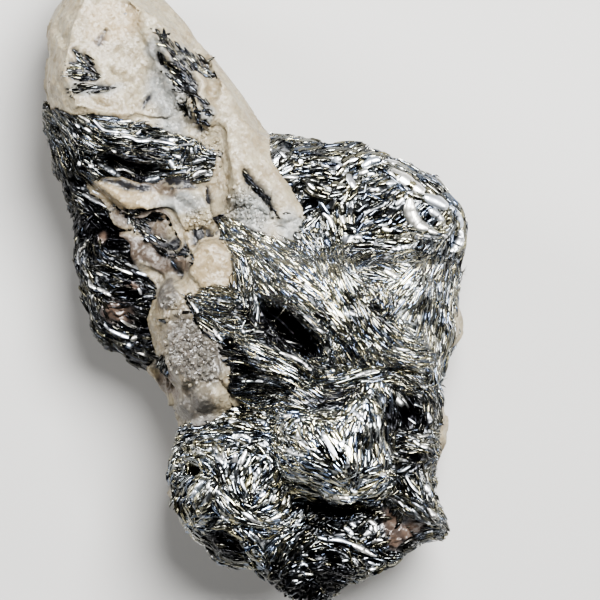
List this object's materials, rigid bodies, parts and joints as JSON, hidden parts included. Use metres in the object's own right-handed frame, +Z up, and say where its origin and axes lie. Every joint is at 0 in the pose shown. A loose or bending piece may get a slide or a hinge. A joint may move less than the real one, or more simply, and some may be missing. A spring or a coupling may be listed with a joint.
{
  "type": "quartz with specular hematite specimen",
  "caption": "Loose mineral hand specimen: a long milky quartz prong and its back, overgrown by rounded masses of bright, flaky specular hematite.",
  "frame": {"origin": "under the middle of the specimen's bounding box, on the surface that it lies on", "axes": "+Y towards the upper end of the quartz prong, +X towards the specimen's right, +Z up, out of the side with the hematite masses"},
  "size_m": [0.0428, 0.0654, 0.028],
  "materials": {
    "quartz": "satin",
    "hematite": "polished"
  },
  "bodies": {
    "root": {"quartz_matrix": "quartz", "hematite_main_fan": "hematite", "hematite_centre_shell": "hematite", "hematite_lower_rosette": "hematite", "hematite_right_wing": "hematite", "hematite_bottom_mass": "hematite", "hematite_upper_lobe": "hematite", "hematite_left_mass": "hematite", "hematite_upper_band": "hematite", "hematite_upper_seam": "hematite"}
  },
  "joints": []
}
